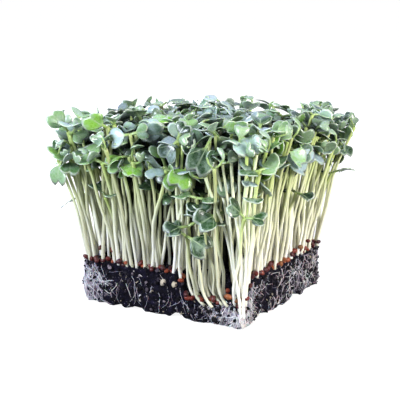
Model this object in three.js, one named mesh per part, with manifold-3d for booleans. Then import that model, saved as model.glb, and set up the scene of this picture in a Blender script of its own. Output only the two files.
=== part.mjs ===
// A block of radish-type microgreens, standing on its own slab of root-bound potting mix.
// Each tuft is a knot of roots in a plain hole of the slab, with a few sprouts rising from it.
// A sprout is one pale stem under a pair of notched seed leaves.
// Frame: millimetres, +Z up, origin at the middle of the slab's flat underside.
import * as THREE from "three";
import { mergeVertices } from "three/addons/utils/BufferGeometryUtils.js";
import Module from "manifold-3d";

const wasm = await Module();
wasm.setup();

// Driving dimensions, in millimetres.
const slab = { side: 88, height: 21, cornerRadius: 5, cells: 12, layers: 3 };
// Gentle waves of the slab's faces: their height, and how far they turn in radians for each millimetre.
const topWave = { height: 0.5, alongX: 0.21, alongY: 0.17 };
const sideWave = { height: 0.6, alongOne: 0.31, alongOther: 0.23, upOne: 5, upOther: -3 };
// Places where the slab has crumbled: a bite in the front face, and the front corner.
const crumbled = [
  { x: 23.5, y: -44, reachX: 15, reachY: 15, depth: 10.5, steepness: 1.8 },
  { x: 44, y: -44, reachX: 17, reachY: 14, depth: 8, steepness: 1 },
];
// The tuft at the front corner stands further out and lower, and the mix has fallen away from its roots.
const bareCorner = { x: 40, y: -40, top: 10.5 };
const tufts = { perSide: 7, pitch: 12.2, sproutsEach: 5, wander: 0.5 };
const knot = {
  radius: 3.8, footRadius: 2.9, depth: 7.4, proud: 0.7, sides: 6, clearance: 0.35, stemCircle: 2.7,
};
const stem = {
  radius: 0.85, sides: 3, steps: 3, sunk: 2.2, spread: 1.29, wander: 4, bow: 1.2, evenLean: 0.6,
};
// The leaves stay inside a square with rounded corners, up to a level top.
const canopy = { half: 58.5, top: 92, corner: 14 };
const stand = { top: 88, range: 12, edgeRange: 10, shortRange: 16, shortest: 47, shortShare: 0.07 };
const leaf = {
  stalk: 2.6, stalkRange: 1.4, blade: 7, bladeRange: 2, shoulder: 0.7, fan: THREE.MathUtils.degToRad(66),
  notch: 0.28, notchWidth: 0.2, rise: 0.12, riseRange: 0.75, droop: 0.012, droopRange: 0.045, cup: 0.035,
  thickness: 1, thickestAlong: 0.45, nodeThickness: 1.7, nodeAbove: 0.35, nodeHalfWidth: 0.95,
};
// How far a leaf pair tilts from level, in radians, and how strictly the tilt points outward at the edge.
const lean = { least: 0.1, range: 0.4, edgeRange: 0.45, outwardAtEdge: 0.5 };
const seedCoat = { long: 1.6, wide: 1.25, high: 1.1, sunk: 0.35, wander: 0.8, clearOfCrumbs: 4 };
// How far apart the middles of neighbours stay: leaf from leaf, stem from leaf and stem from stem.
const apart = { leaves: 2.0, stemAndLeaf: 1.8, stems: 2.1 };
const tries = 60;
const stemLevel = 4;
const seed = 20417;

const smooth = (t) => t * t * (3 - 2 * t);

// Pseudo-random numbers from 0 to 1: the classic 32-bit linear congruential rule.
function randomStream(start) {
  let state = start;
  return () => {
    state = (Math.imul(state, 1664525) + 1013904223) >>> 0;
    return state / 2 ** 32;
  };
}

// Height of the slab's top: gentle waves, lowered where it has crumbled.
function topOfSlab(x, y) {
  const wave = Math.sin(topWave.alongX * x + 1.3) + Math.sin(topWave.alongY * y - 0.4);
  let z = slab.height + topWave.height * wave;
  for (const place of crumbled) {
    const away = Math.hypot((x - place.x) / place.reachX, (y - place.y) / place.reachY);
    if (away < 1) z -= place.depth * smooth(Math.min(1, place.steepness * (1 - away)));
  }
  return z;
}

function solidOf(geometry) {
  const bare = geometry.index ? geometry.toNonIndexed() : geometry.clone();
  const positions = new THREE.BufferGeometry().setAttribute("position", bare.getAttribute("position"));
  const merged = mergeVertices(positions, 1e-4);
  return new wasm.Manifold(
    new wasm.Mesh({
      numProp: 3,
      vertProperties: new Float32Array(merged.attributes.position.array),
      triVerts: new Uint32Array(merged.index.array),
    }),
  );
}

function geometryOf(solid) {
  const mesh = solid.getMesh();
  const geometry = new THREE.BufferGeometry();
  geometry.setAttribute("position", new THREE.BufferAttribute(mesh.vertProperties, 3));
  geometry.setIndex(new THREE.BufferAttribute(mesh.triVerts, 1));
  geometry.computeVertexNormals();
  return geometry;
}

// One place for each tuft, on a slightly uneven grid.
function tuftPlaces() {
  const middle = (tufts.perSide - 1) / 2;
  const places = [];
  for (let row = 0; row < tufts.perSide; row++) {
    for (let column = 0; column < tufts.perSide; column++) {
      const inside = Math.max(Math.abs(row - middle), Math.abs(column - middle)) < middle;
      const wander = inside ? tufts.wander : 0;
      const x = (column - middle) * tufts.pitch + wander * Math.sin(5 * row + 3 * column);
      const y = (row - middle) * tufts.pitch + wander * Math.cos(4 * row - 7 * column);
      const edge = Math.max(Math.abs(row - middle), Math.abs(column - middle)) / middle;
      const atCorner = row === 0 && column === tufts.perSide - 1;
      const place = atCorner ? { ...bareCorner } : { x, y, top: topOfSlab(x, y) + knot.proud };
      places.push({ ...place, name: `tuft_r${row + 1}_c${column + 1}`, edge });
    }
  }
  return places;
}

// Reach of the blade's outline from the end of the stalk, as a share of its length.
// It is full at the two lobes, notched between them, and falls to nothing at the shoulders.
function lobe(across) {
  const notch = 1 - leaf.notch * Math.exp(-((across / leaf.notchWidth) ** 2));
  return notch * Math.sqrt(1 - Math.abs(across) ** 3);
}

// A point of one seed leaf: along is 0 at the end of the stalk and 1 at the outline, across is -1 to 1.
// The stalk rises and the blade arches over, with its sides cupped up.
function leafPoint(sprout, side, along, across, lift = 0) {
  const reach = along * sprout.blade * lobe(across);
  const x = sprout.stalk + reach * Math.cos(leaf.fan * across);
  const y = reach * Math.sin(leaf.fan * across) + leaf.shoulder * across;
  return sproutPoint(sprout, side * x, side * y, lift);
}

// A point on the leaf pair's arched surface, x and y out from the node, and lifted off it.
function sproutPoint(sprout, x, y, lift = 0) {
  const far = Math.abs(x);
  const z = sprout.rise * far - sprout.droop * far * far + leaf.cup * y * y + lift;
  return sprout.tip.clone()
    .addScaledVector(sprout.axis, x)
    .addScaledVector(sprout.across, y)
    .addScaledVector(sprout.normal, z);
}

// The middle of the stem at a share of its height: it leaves the knot and leans out, more so higher up,
// with a slight bow.
function stemPoint(sprout, share) {
  const out = stem.evenLean * share + (1 - stem.evenLean) * share * share;
  const bow = sprout.bow * Math.sin(Math.PI * share);
  return new THREE.Vector3(
    sprout.root.x + (sprout.tip.x - sprout.root.x) * out + bow * Math.cos(sprout.bowTurn),
    sprout.root.y + (sprout.tip.y - sprout.root.y) * out + bow * Math.sin(sprout.bowTurn),
    sprout.root.z + (sprout.tip.z - sprout.root.z) * share,
  );
}

// A sprout from its tuft's place, its number in the tuft and random numbers.
function makeSprout(place, number, random) {
  const draw = {
    rootTurn: random(), rootOut: random(), tipX: random(), tipY: random(),
    height: random(), short: random(), leafTurn: random(), tilt: random(),
    tiltTurn: random(), size: random(), rise: random(), droop: random(),
  };
  const rootTurn = (2 * Math.PI * (number + 0.6 * draw.rootTurn)) / tufts.sproutsEach;
  const rootOut = knot.stemCircle * (0.6 + 0.4 * draw.rootOut);
  const root = new THREE.Vector3(
    place.x + rootOut * Math.cos(rootTurn), place.y + rootOut * Math.sin(rootTurn), place.top,
  );
  const isShort = draw.short < stand.shortShare * place.edge;
  const height = isShort
    ? stand.shortest + stand.shortRange * draw.height
    : stand.top - (stand.range + stand.edgeRange * place.edge ** 2) * draw.height;
  const grown = (height - slab.height) / (stand.top - slab.height);
  const fan = 1 + (stem.spread - 1) * grown;
  const tip = new THREE.Vector3(
    root.x * fan + stem.wander * (2 * draw.tipX - 1),
    root.y * fan + stem.wander * (2 * draw.tipY - 1),
    height,
  );
  const stray = Math.PI * (2 * draw.tiltTurn - 1) * (1 - lean.outwardAtEdge * place.edge);
  const outTurn = Math.atan2(place.y, place.x) + stray;
  const tilt = lean.least + draw.tilt * (lean.range + lean.edgeRange * place.edge ** 2);
  const normal = new THREE.Vector3(
    Math.sin(tilt) * Math.cos(outTurn), Math.sin(tilt) * Math.sin(outTurn), Math.cos(tilt),
  );
  const level = new THREE.Vector3(-Math.sin(outTurn), Math.cos(outTurn), 0);
  const uphill = new THREE.Vector3().crossVectors(normal, level);
  const turn = 2 * Math.PI * draw.leafTurn;
  const axis = level.clone().multiplyScalar(Math.cos(turn)).addScaledVector(uphill, Math.sin(turn));
  return {
    root, tip, normal, axis, across: new THREE.Vector3().crossVectors(normal, axis),
    stalk: leaf.stalk + leaf.stalkRange * draw.size, blade: leaf.blade + leaf.bladeRange * draw.size,
    rise: leaf.rise + leaf.riseRange * draw.rise, droop: leaf.droop + leaf.droopRange * draw.droop,
    bow: stem.bow * (2 * draw.size - 1), bowTurn: 2 * Math.PI * draw.droop,
  };
}

// Points over both leaves, close enough together that two pairs which keep apart can't cross.
const sampledAlong = [0.3, 0.55, 0.8, 1];
const sampledAcross = [-0.9, -0.675, -0.45, -0.225, 0, 0.225, 0.45, 0.675, 0.9];
function leafSamples(sprout) {
  const points = [sprout.tip.clone()];
  for (const side of [1, -1]) {
    for (const share of [0.5, 1]) points.push(sproutPoint(sprout, side * share * sprout.stalk, 0));
    for (const along of sampledAlong) {
      for (const across of sampledAcross) points.push(leafPoint(sprout, side, along, across));
    }
  }
  return points;
}

// A stem passes the points of a leaf pair at their own height.
function stemIsClear(stemSprout, samples) {
  const { root, tip } = stemSprout;
  return samples.every((p) => {
    if (p.z > tip.z || p.z < root.z) return true;
    const middle = stemPoint(stemSprout, (p.z - root.z) / (tip.z - root.z));
    return Math.hypot(middle.x - p.x, middle.y - p.y) > apart.stemAndLeaf;
  });
}

// Two stems are compared at every level that both pass.
function stemsAreClear(a, b) {
  const low = Math.max(a.root.z, b.root.z) + 1;
  const high = Math.min(a.tip.z, b.tip.z);
  for (let z = low; z < high; z += stemLevel) {
    const p = stemPoint(a, (z - a.root.z) / (a.tip.z - a.root.z));
    const q = stemPoint(b, (z - b.root.z) / (b.tip.z - b.root.z));
    if (Math.hypot(p.x - q.x, p.y - q.y) < apart.stems) return false;
  }
  return true;
}

function staysInCanopy(samples) {
  return samples.every((p) => (
    Math.abs(p.x) ** canopy.corner + Math.abs(p.y) ** canopy.corner < canopy.half ** canopy.corner
    && p.z < canopy.top
  ));
}

function standsClear(sprout, samples, standing) {
  const reach = 2 * (leaf.stalk + leaf.stalkRange + leaf.blade + leaf.bladeRange) + apart.leaves;
  return standing.every((other) => {
    if (!stemsAreClear(sprout, other.sprout)) return false;
    const flat = Math.hypot(other.sprout.tip.x - sprout.tip.x, other.sprout.tip.y - sprout.tip.y);
    if (flat > reach) return true;
    if (!stemIsClear(sprout, other.samples) || !stemIsClear(other.sprout, samples)) return false;
    return samples.every((p) => other.samples.every((q) => p.distanceTo(q) > apart.leaves));
  });
}

// Every tuft gets its first sprout, then its second, and so on. A sprout that would touch another is
// drawn again, and left out if no try stands clear.
function growSprouts(places) {
  const random = randomStream(seed);
  const standing = [];
  for (let number = 0; number < tufts.sproutsEach; number++) {
    for (const place of places) {
      for (let attempt = 0; attempt < tries; attempt++) {
        const sprout = makeSprout(place, number, random);
        const samples = leafSamples(sprout);
        if (staysInCanopy(samples) && standsClear(sprout, samples, standing)) {
          standing.push({ place, sprout, samples });
          break;
        }
      }
    }
  }
  return standing;
}

// The stem is a three-sided tube along its curve, from inside the knot to the leaf node.
function stemSolid(sprout) {
  const section = new THREE.Shape();
  for (let i = 0; i < stem.sides; i++) {
    const turn = (2 * Math.PI * i) / stem.sides;
    const point = [stem.radius * Math.cos(turn), stem.radius * Math.sin(turn)];
    if (i) section.lineTo(...point);
    else section.moveTo(...point);
  }
  const line = [stemPoint(sprout, 0).add(new THREE.Vector3(0, 0, -stem.sunk))];
  for (let i = 1; i <= stem.steps; i++) line.push(stemPoint(sprout, i / stem.steps));
  const path = new THREE.CatmullRomCurve3(line);
  return solidOf(new THREE.ExtrudeGeometry(section, { steps: stem.steps, extrudePath: path }));
}

// Both leaves in one closed blade: an upper and a lower skin that share the outline, thick at the node and
// thin at the rim. Each skin is a fan round the middle of either leaf.
const outlineAcross = [0.75, 0.33, 0, -0.33, -0.75];
function leafPairSolid(sprout) {
  const points = [];
  const add = (point) => points.push(point) - 1;
  const waist = [1, -1].map((side) => add(sproutPoint(sprout, 0, side * leaf.nodeHalfWidth)));
  const nodeShares = [leaf.nodeAbove, leaf.nodeAbove - 1];
  const node = nodeShares.map((share) => add(sproutPoint(sprout, 0, 0, share * leaf.nodeThickness)));
  const triangles = [];
  for (const side of [1, -1]) {
    const rim = outlineAcross.map((across) => add(leafPoint(sprout, side, 1, across)));
    const middle = [0.5, -0.5].map((share) => (
      add(leafPoint(sprout, side, leaf.thickestAlong, 0, share * leaf.thickness))
    ));
    const loop = side > 0 ? [waist[0], ...rim, waist[1]] : [waist[1], ...rim, waist[0]];
    for (const skin of [0, 1]) {
      const ring = [...loop, node[skin]];
      ring.forEach((from, i) => {
        const to = ring[(i + 1) % ring.length];
        triangles.push(skin ? [middle[skin], from, to] : [middle[skin], to, from]);
      });
    }
  }
  const geometry = new THREE.BufferGeometry();
  const flat = points.flatMap((point) => point.toArray());
  geometry.setAttribute("position", new THREE.Float32BufferAttribute(flat, 3));
  geometry.setIndex(triangles.flat());
  return solidOf(geometry);
}

function upright(geometry, x, y, z) {
  return geometry.rotateX(Math.PI / 2).translate(x, y, z);
}

function knotSolid(place) {
  const height = knot.depth + knot.proud;
  const body = new THREE.CylinderGeometry(knot.radius, knot.footRadius, height, knot.sides);
  return solidOf(upright(body, place.x, place.y, place.top - height / 2));
}

function holeSolid(place) {
  const above = 12;
  const height = knot.depth + knot.proud + knot.clearance + above;
  const radius = knot.radius + knot.clearance;
  const body = new THREE.CylinderGeometry(radius, radius, height, knot.sides);
  return solidOf(upright(body, place.x, place.y, place.top + above - height / 2));
}

// The slab is a box with rounded upright corners, uneven sides, a waved and crumbled top
// and a flat underside.
function slabBody() {
  const half = slab.side / 2;
  const inner = half - slab.cornerRadius;
  const box = new THREE.BoxGeometry(slab.side, slab.side, slab.height, slab.cells, slab.cells, slab.layers);
  const position = box.getAttribute("position");
  for (let i = 0; i < position.count; i++) {
    let x = position.getX(i);
    let y = position.getY(i);
    const up = position.getZ(i) / slab.height + 0.5;
    const nearX = THREE.MathUtils.clamp(x, -inner, inner);
    const nearY = THREE.MathUtils.clamp(y, -inner, inner);
    const away = Math.hypot(x - nearX, y - nearY);
    if (away > slab.cornerRadius) {
      x = nearX + ((x - nearX) * slab.cornerRadius) / away;
      y = nearY + ((y - nearY) * slab.cornerRadius) / away;
    }
    const onSide = Math.max(Math.abs(position.getX(i)), Math.abs(position.getY(i))) > half - 0.1;
    const one = Math.sin(sideWave.alongOne * (x - y) + sideWave.upOne * up);
    const other = Math.sin(sideWave.alongOther * (x + y) + sideWave.upOther * up);
    const push = onSide ? (sideWave.height * (one + other)) / 2 : 0;
    const grow = 1 - (sideWave.height - push) / half;
    position.setXYZ(i, x * grow, y * grow, up * topOfSlab(x, y));
  }
  return solidOf(box);
}

function isNear(x, y, place) {
  const across = (x - place.x) / (place.reachX + seedCoat.clearOfCrumbs);
  const along = (y - place.y) / (place.reachY + seedCoat.clearOfCrumbs);
  return Math.hypot(across, along) < 1;
}

// Seed coats lie half sunk in the slab between the knots, except where it has crumbled.
function seedCoatSolids() {
  const solids = [];
  const lines = tufts.perSide - 1;
  for (let row = 0; row < lines; row++) {
    for (let column = 0; column < lines; column++) {
      const x = (column - (lines - 1) / 2) * tufts.pitch + seedCoat.wander * Math.sin(3 * row + column);
      const y = (row - (lines - 1) / 2) * tufts.pitch + seedCoat.wander * Math.cos(row - 4 * column);
      if (crumbled.some((place) => isNear(x, y, place))) continue;
      const coat = new THREE.IcosahedronGeometry(1, 0)
        .scale(seedCoat.long, seedCoat.wide, seedCoat.high)
        .rotateZ(2.4 * row + 1.7 * column)
        .translate(x, y, topOfSlab(x, y) + seedCoat.high * (1 - 2 * seedCoat.sunk));
      solids.push(solidOf(coat));
    }
  }
  return solids;
}

function slabSolid(places) {
  const holes = wasm.Manifold.union(places.map(holeSolid));
  const withCoats = wasm.Manifold.union([slabBody(), ...seedCoatSolids()]);
  return withCoats.subtract(holes);
}

function namedMesh(name, solid, colour, roughness) {
  const material = new THREE.MeshStandardMaterial({ color: colour, roughness, metalness: 0 });
  const mesh = new THREE.Mesh(geometryOf(solid), material);
  mesh.name = name;
  return mesh;
}

const block = new THREE.Group();
const places = tuftPlaces();
const standing = growSprouts(places);
block.add(namedMesh("soil_slab", slabSolid(places), 0x241f22, 0.95));
for (const place of places) {
  const sprouts = standing.filter((one) => one.place === place).map((one) => one.sprout);
  const solids = sprouts.flatMap((sprout) => [stemSolid(sprout), leafPairSolid(sprout)]);
  block.add(namedMesh(place.name, wasm.Manifold.union([knotSolid(place), ...solids]), 0x9fbf7a, 0.55));
}

export default block;
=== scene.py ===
# A block of radish-type microgreens on its slab of potting mix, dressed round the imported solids.
import math

import bpy
import numpy as np
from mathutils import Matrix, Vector


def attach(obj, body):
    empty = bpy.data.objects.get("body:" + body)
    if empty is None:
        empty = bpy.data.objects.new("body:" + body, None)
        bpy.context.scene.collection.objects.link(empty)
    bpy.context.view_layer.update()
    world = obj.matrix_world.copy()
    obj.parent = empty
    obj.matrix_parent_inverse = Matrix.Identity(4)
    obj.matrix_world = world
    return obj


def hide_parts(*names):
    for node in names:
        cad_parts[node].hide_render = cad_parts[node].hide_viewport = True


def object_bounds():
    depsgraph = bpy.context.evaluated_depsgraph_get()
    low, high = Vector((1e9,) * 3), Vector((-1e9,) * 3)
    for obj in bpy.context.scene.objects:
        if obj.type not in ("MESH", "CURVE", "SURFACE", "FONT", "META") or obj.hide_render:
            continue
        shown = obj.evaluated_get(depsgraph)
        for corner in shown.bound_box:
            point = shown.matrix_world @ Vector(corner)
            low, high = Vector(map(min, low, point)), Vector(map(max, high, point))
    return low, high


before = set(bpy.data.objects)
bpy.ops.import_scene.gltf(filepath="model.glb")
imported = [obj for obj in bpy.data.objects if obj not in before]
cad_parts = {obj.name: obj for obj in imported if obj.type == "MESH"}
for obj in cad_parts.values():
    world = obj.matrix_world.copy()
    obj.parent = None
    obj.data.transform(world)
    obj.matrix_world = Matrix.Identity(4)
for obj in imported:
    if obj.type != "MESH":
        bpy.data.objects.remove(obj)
cadBox = [list(corner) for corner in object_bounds()]
mm = 0.001  # sizes below are in millimetres, and Blender's are in metres
fullTurn = 6.28
scene = bpy.context.scene
chance = np.random.default_rng(7)  # for the finish only: the stand itself uses the stream below


# Meshes

def newPiece(name, points, faces, material, slotName, smooth=True, **attributes):
    # a mesh object from points in millimetres, with one value for each point in each attribute
    mesh = bpy.data.meshes.new(name)
    mesh.from_pydata((np.asarray(points) * mm).tolist(), [], faces)
    for key, values in attributes.items():
        layer = mesh.attributes.new(key, "FLOAT", "POINT")
        layer.data.foreach_set("value", np.asarray(values, dtype=np.float32).ravel())
    mesh.polygons.foreach_set("use_smooth", np.full(len(mesh.polygons), smooth))
    mesh.materials.append(material)
    mesh.update()
    piece = bpy.data.objects.new(name, mesh)
    scene.collection.objects.link(piece)
    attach(piece, "root")
    return piece


def keepInside(points, margin=0.1, ease=2.5):
    # points within ease of the solids' box are pressed back, ever more the further out they lie: what is over
    # the line where it starts is replaced by ease times one minus the exponential of minus over by ease
    low, high = np.array(cadBox[0]) / mm + margin, np.array(cadBox[1]) / mm - margin
    over = np.maximum(points - (high - ease), 0)
    under = np.maximum((low + ease) - points, 0)
    under[:, 2] = 0
    back = ease * (1 - np.exp(-over / ease)) - ease * (1 - np.exp(-under / ease))
    return points - over + under + back


def gridFaces(rows, columns, wrap=False):
    # quads of a grid of points stored row by row; wrap joins the last column to the first
    across = np.arange(columns if wrap else columns - 1)
    row, column = np.meshgrid(np.arange(rows - 1), across, indexing="ij")
    nextColumn = (column + 1) % columns
    a = row * columns + column
    b = row * columns + nextColumn
    return np.stack([a, b, b + columns, a + columns], axis=-1).reshape(-1, 4)


def repeatFaces(faces, copies, stride):
    # the same faces for each copy of a shape that has stride points
    steps = np.arange(copies)[:, None, None] * stride
    return (faces[None] + steps).reshape(-1, faces.shape[1])


def tubes(centres, radii, sides, ends=0.0):
    # closed tubes: centres is (tubes, rings, 3) and radii (tubes, rings). Each ring is a circle square to
    # the path, and a fan closes each end round a point that stands out by ends times the ring's radius.
    count, rings = radii.shape
    along = np.gradient(centres, axis=1)
    along /= np.linalg.norm(along, axis=-1, keepdims=True) + 1e-12
    side = np.cross(along, np.array([0.23, 0.91, 0.35]))
    side /= np.linalg.norm(side, axis=-1, keepdims=True) + 1e-12
    other = np.cross(along, side)
    turn = 2 * math.pi * np.arange(sides) / sides
    ring = (side[:, :, None] * np.cos(turn)[None, None, :, None]
            + other[:, :, None] * np.sin(turn)[None, None, :, None])
    points = (centres[:, :, None] + ring * radii[:, :, None, None]).reshape(count, -1, 3)
    foot = centres[:, :1] - along[:, :1] * (ends * radii[:, :1, None])
    tip = centres[:, -1:] + along[:, -1:] * (ends * radii[:, -1:, None])
    points = np.concatenate([points, foot, tip], axis=1)
    stride = rings * sides + 2
    quads = repeatFaces(gridFaces(rings, sides, wrap=True), count, stride)
    k = np.arange(sides)
    first = np.stack([np.full(sides, rings * sides), (k + 1) % sides, k], axis=-1)
    last = (rings - 1) * sides
    end = np.stack([np.full(sides, rings * sides + 1), last + k, last + (k + 1) % sides], axis=-1)
    caps = repeatFaces(np.concatenate([first, end]), count, stride)
    return points.reshape(-1, 3), quads.tolist() + caps.tolist(), stride


def lumps(centres, longHalf, thickHalf, directions, rings, sides, roughness):
    # closed ellipsoids: short tubes along directions whose radius follows a half circle, then roughened
    t = np.cos(np.pi * (np.arange(rings) + 0.7) / (rings + 0.4))
    path = centres[:, None] - directions[:, None] * (longHalf[:, None, None] * t[None, :, None])
    radii = thickHalf[:, None] * np.sqrt(1 - t ** 2)[None]
    points, faces, stride = tubes(path, radii, sides, ends=0.5)
    middle = np.repeat(centres, stride, axis=0)
    points = middle + (points - middle) * (1 + roughness * (chance.random((len(points), 1)) - 0.5))
    return points, faces, stride


def randomDirections(count, upright=1.0):
    # unit vectors spread over the sphere, flattened towards level where upright is below 1
    directions = chance.normal(size=(count, 3)) * [1, 1, upright]
    return directions / np.linalg.norm(directions, axis=1, keepdims=True)


def scatter(name, spots, long, thick, form, material, slotName, smooth=True, upright=1.0, tones=(), least=0):
    # one piece of many lumps that lie every way, none of it below the floor. form is lumps' rings, sides and
    # roughness. The first lumps have the tones given, and the others one of their own from least to 1.
    points, faces, stride = lumps(spots, long, thick, randomDirections(len(spots), upright), *form)
    points[:, 2] = np.maximum(points[:, 2], 0)
    own = least + (1 - least) * chance.random(len(spots) - len(tones))
    newPiece(name, points, faces, material, slotName, smooth, tone=np.repeat([*tones, *own], stride))


def valueNoise(points, size, seed):
    # smooth noise from -1 to 1: random values at the corners of cubes of that size, eased between them. The
    # large numbers only scramble a corner's place into its value.
    cell = points / size + seed * 17.31
    base = np.floor(cell).astype(np.int64)
    part = cell - base
    ease = part * part * (3 - 2 * part)
    total = np.zeros(len(points))
    for corner in np.ndindex(2, 2, 2):
        at = base + np.array(corner)
        mixed = at[:, 0] * 374761393 + at[:, 1] * 668265263 + at[:, 2] * 2147483647 + seed * 97
        mixed &= 0xffffffff
        mixed = ((mixed ^ (mixed >> 13)) * 1274126177) & 0xffffffff
        value = ((mixed ^ (mixed >> 16)) & 0xffff) / 32767.5 - 1
        weight = np.ones(len(points))
        for axis in range(3):
            weight *= ease[:, axis] if corner[axis] else 1 - ease[:, axis]
        total += value * weight
    return total


# Materials

def linearColour(hexText):
    # sRGB hex to linear red, green, blue and alpha: a straight part near black, then a power of 2.4
    parts = [int(hexText[i:i + 2], 16) / 255 for i in (1, 3, 5)]
    return [p / 12.92 if p <= 0.04045 else ((p + 0.055) / 1.055) ** 2.4 for p in parts] + [1]


def addNode(owner, kind, inputs=None, output=0, stops=(), **settings):
    # adds a node with its settings and gives one of its outputs. An input is the socket that feeds it, a hex
    # colour or a plain value, and the stops of a colour ramp are (place, hex colour).
    node = owner.node_tree.nodes.new(kind)
    for key, value in settings.items():
        setattr(node, key, value)
    for key, value in (inputs or {}).items():
        if isinstance(value, bpy.types.NodeSocket):
            owner.node_tree.links.new(value, node.inputs[key])
        else:
            node.inputs[key].default_value = linearColour(value) if isinstance(value, str) else value
    for _ in stops[2:]:
        node.color_ramp.elements.new(0.5)
    if stops:
        for element, (place, hexText) in zip(node.color_ramp.elements, stops):
            element.position = place
            element.color = linearColour(hexText)
    if node.outputs:
        return node.outputs[output]


def newMaterial(name):
    # a material with an empty node tree
    material = bpy.data.materials.new(name)
    material.use_nodes = True
    material.node_tree.nodes.clear()
    return material


def coverWith(material, base, layers):
    # colours over one another: each layer is (value, low, high, atLow, atHigh, colour), and its share eases
    # from atLow to atHigh while its value goes from low to high
    for value, low, high, atLow, atHigh, colour in layers:
        share = addNode(material, "ShaderNodeMapRange", {0: value, 1: low, 2: high, 3: atLow, 4: atHigh},
                        interpolation_type="SMOOTHSTEP")
        base = addNode(material, "ShaderNodeMix", {0: share, 6: base, 7: colour}, output=2, data_type="RGBA")
    return base


def bitsMaterial(name, stops, size, depth, roughness, specular=0.5, layer=()):
    # small loose things: each has a tone of its own, and noise of that size pits and mottles its surface
    material = newMaterial(name)
    tone = addNode(material, "ShaderNodeAttribute", output="Fac", attribute_name="tone")
    base = addNode(material, "ShaderNodeValToRGB", {"Fac": tone}, stops=stops)
    place = addNode(material, "ShaderNodeTexCoord", output="Object")
    noise = addNode(material, "ShaderNodeTexNoise", {
        "Vector": place, "Scale": 1 / (size * mm), "Detail": 3, "Roughness": 0.55,
    })
    if layer:
        base = coverWith(material, base, [(noise, *layer)])
    shader = addNode(material, "ShaderNodeBsdfPrincipled", {
        "Base Color": base, "Roughness": roughness, "Specular IOR Level": specular,
        "Normal": addNode(material, "ShaderNodeBump", {"Height": noise, "Distance": depth * mm}),
    })
    addNode(material, "ShaderNodeOutputMaterial", {"Surface": shader})
    return material


# The stand of sprouts, by the same rule and the same random numbers as the solids

slab = dict(side=88, height=21, cornerRadius=5)
topWave = dict(height=0.5, alongX=0.21, alongY=0.17, startX=1.3, startY=-0.4)
sideWave = dict(height=0.6, alongOne=0.31, alongOther=0.23, upOne=5, upOther=-3)
crumbled = [
    dict(x=23.5, y=-44, reachX=15, reachY=15, depth=10.5, steepness=1.8),
    dict(x=44, y=-44, reachX=17, reachY=14, depth=8, steepness=1),
]
bareCorner = dict(x=40, y=-40, top=10.5)
tufts = dict(perSide=7, pitch=12.2, sproutsEach=5, wander=0.5, swayX=(5, 3), swayY=(4, -7))
knot = dict(proud=0.7, stemCircle=2.7, turnSpread=0.6, inmost=0.6, outRange=0.4)
stem = dict(spread=1.29, wander=4, bow=1.2, evenLean=0.6)
canopy = dict(half=58.5, top=92, corner=14)
stand = dict(top=88, range=12, edgeRange=10, shortRange=16, shortest=47, shortShare=0.07)
leaf = dict(
    stalk=2.6, stalkRange=1.4, blade=7, bladeRange=2, shoulder=0.7, fan=math.radians(66), notch=0.28,
    notchWidth=0.2, rise=0.12, riseRange=0.75, droop=0.012, droopRange=0.045, cup=0.035,
)
lean = dict(least=0.1, range=0.4, edgeRange=0.45, outwardAtEdge=0.5)
apart = dict(leaves=2.0, stemAndLeaf=1.8, stems=2.1, touching=0.5)
growth = dict(solidStream=20417, fillStream=5, tries=60, room=900)
levels = dict(pitch=4, count=22)  # the heights at which two stems are compared
farAway = 99.0  # stands for a gap where there is no neighbour


def randomStream(state):
    # numbers from 0 to 1 by the classic 32-bit linear congruential rule
    while True:
        state = (state * 1664525 + 1013904223) % 2 ** 32
        yield state / 2 ** 32


def topOfSlab(x, y):
    # the sum of a sine along x and one along y, less a smooth step down where the slab has crumbled
    x, y = np.asarray(x, dtype=float), np.asarray(y, dtype=float)
    waveX = np.sin(topWave["alongX"] * x + topWave["startX"])
    waveY = np.sin(topWave["alongY"] * y + topWave["startY"])
    z = slab["height"] + topWave["height"] * (waveX + waveY)
    for place in crumbled:
        away = np.hypot((x - place["x"]) / place["reachX"], (y - place["y"]) / place["reachY"])
        t = np.minimum(place["steepness"] * (1 - np.minimum(away, 1)), 1)
        z = z - place["depth"] * t * t * (3 - 2 * t)
    return z


def tuftPlaces():
    # a square grid whose inner places wander a little, by a sine and a cosine of row and column
    middle = (tufts["perSide"] - 1) / 2
    places = []
    for row in range(tufts["perSide"]):
        for column in range(tufts["perSide"]):
            out = max(abs(row - middle), abs(column - middle))
            wander = tufts["wander"] if out < middle else 0
            swayX, swayY = (by[0] * row + by[1] * column for by in (tufts["swayX"], tufts["swayY"]))
            x = (column - middle) * tufts["pitch"] + wander * math.sin(swayX)
            y = (row - middle) * tufts["pitch"] + wander * math.cos(swayY)
            place = dict(x=x, y=y, top=float(topOfSlab(x, y)) + knot["proud"])
            if row == 0 and column == tufts["perSide"] - 1:
                place = dict(bareCorner)
            places.append(dict(place, name=f"tuft_r{row + 1}_c{column + 1}", row=row, edge=out / middle))
    return places


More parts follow.
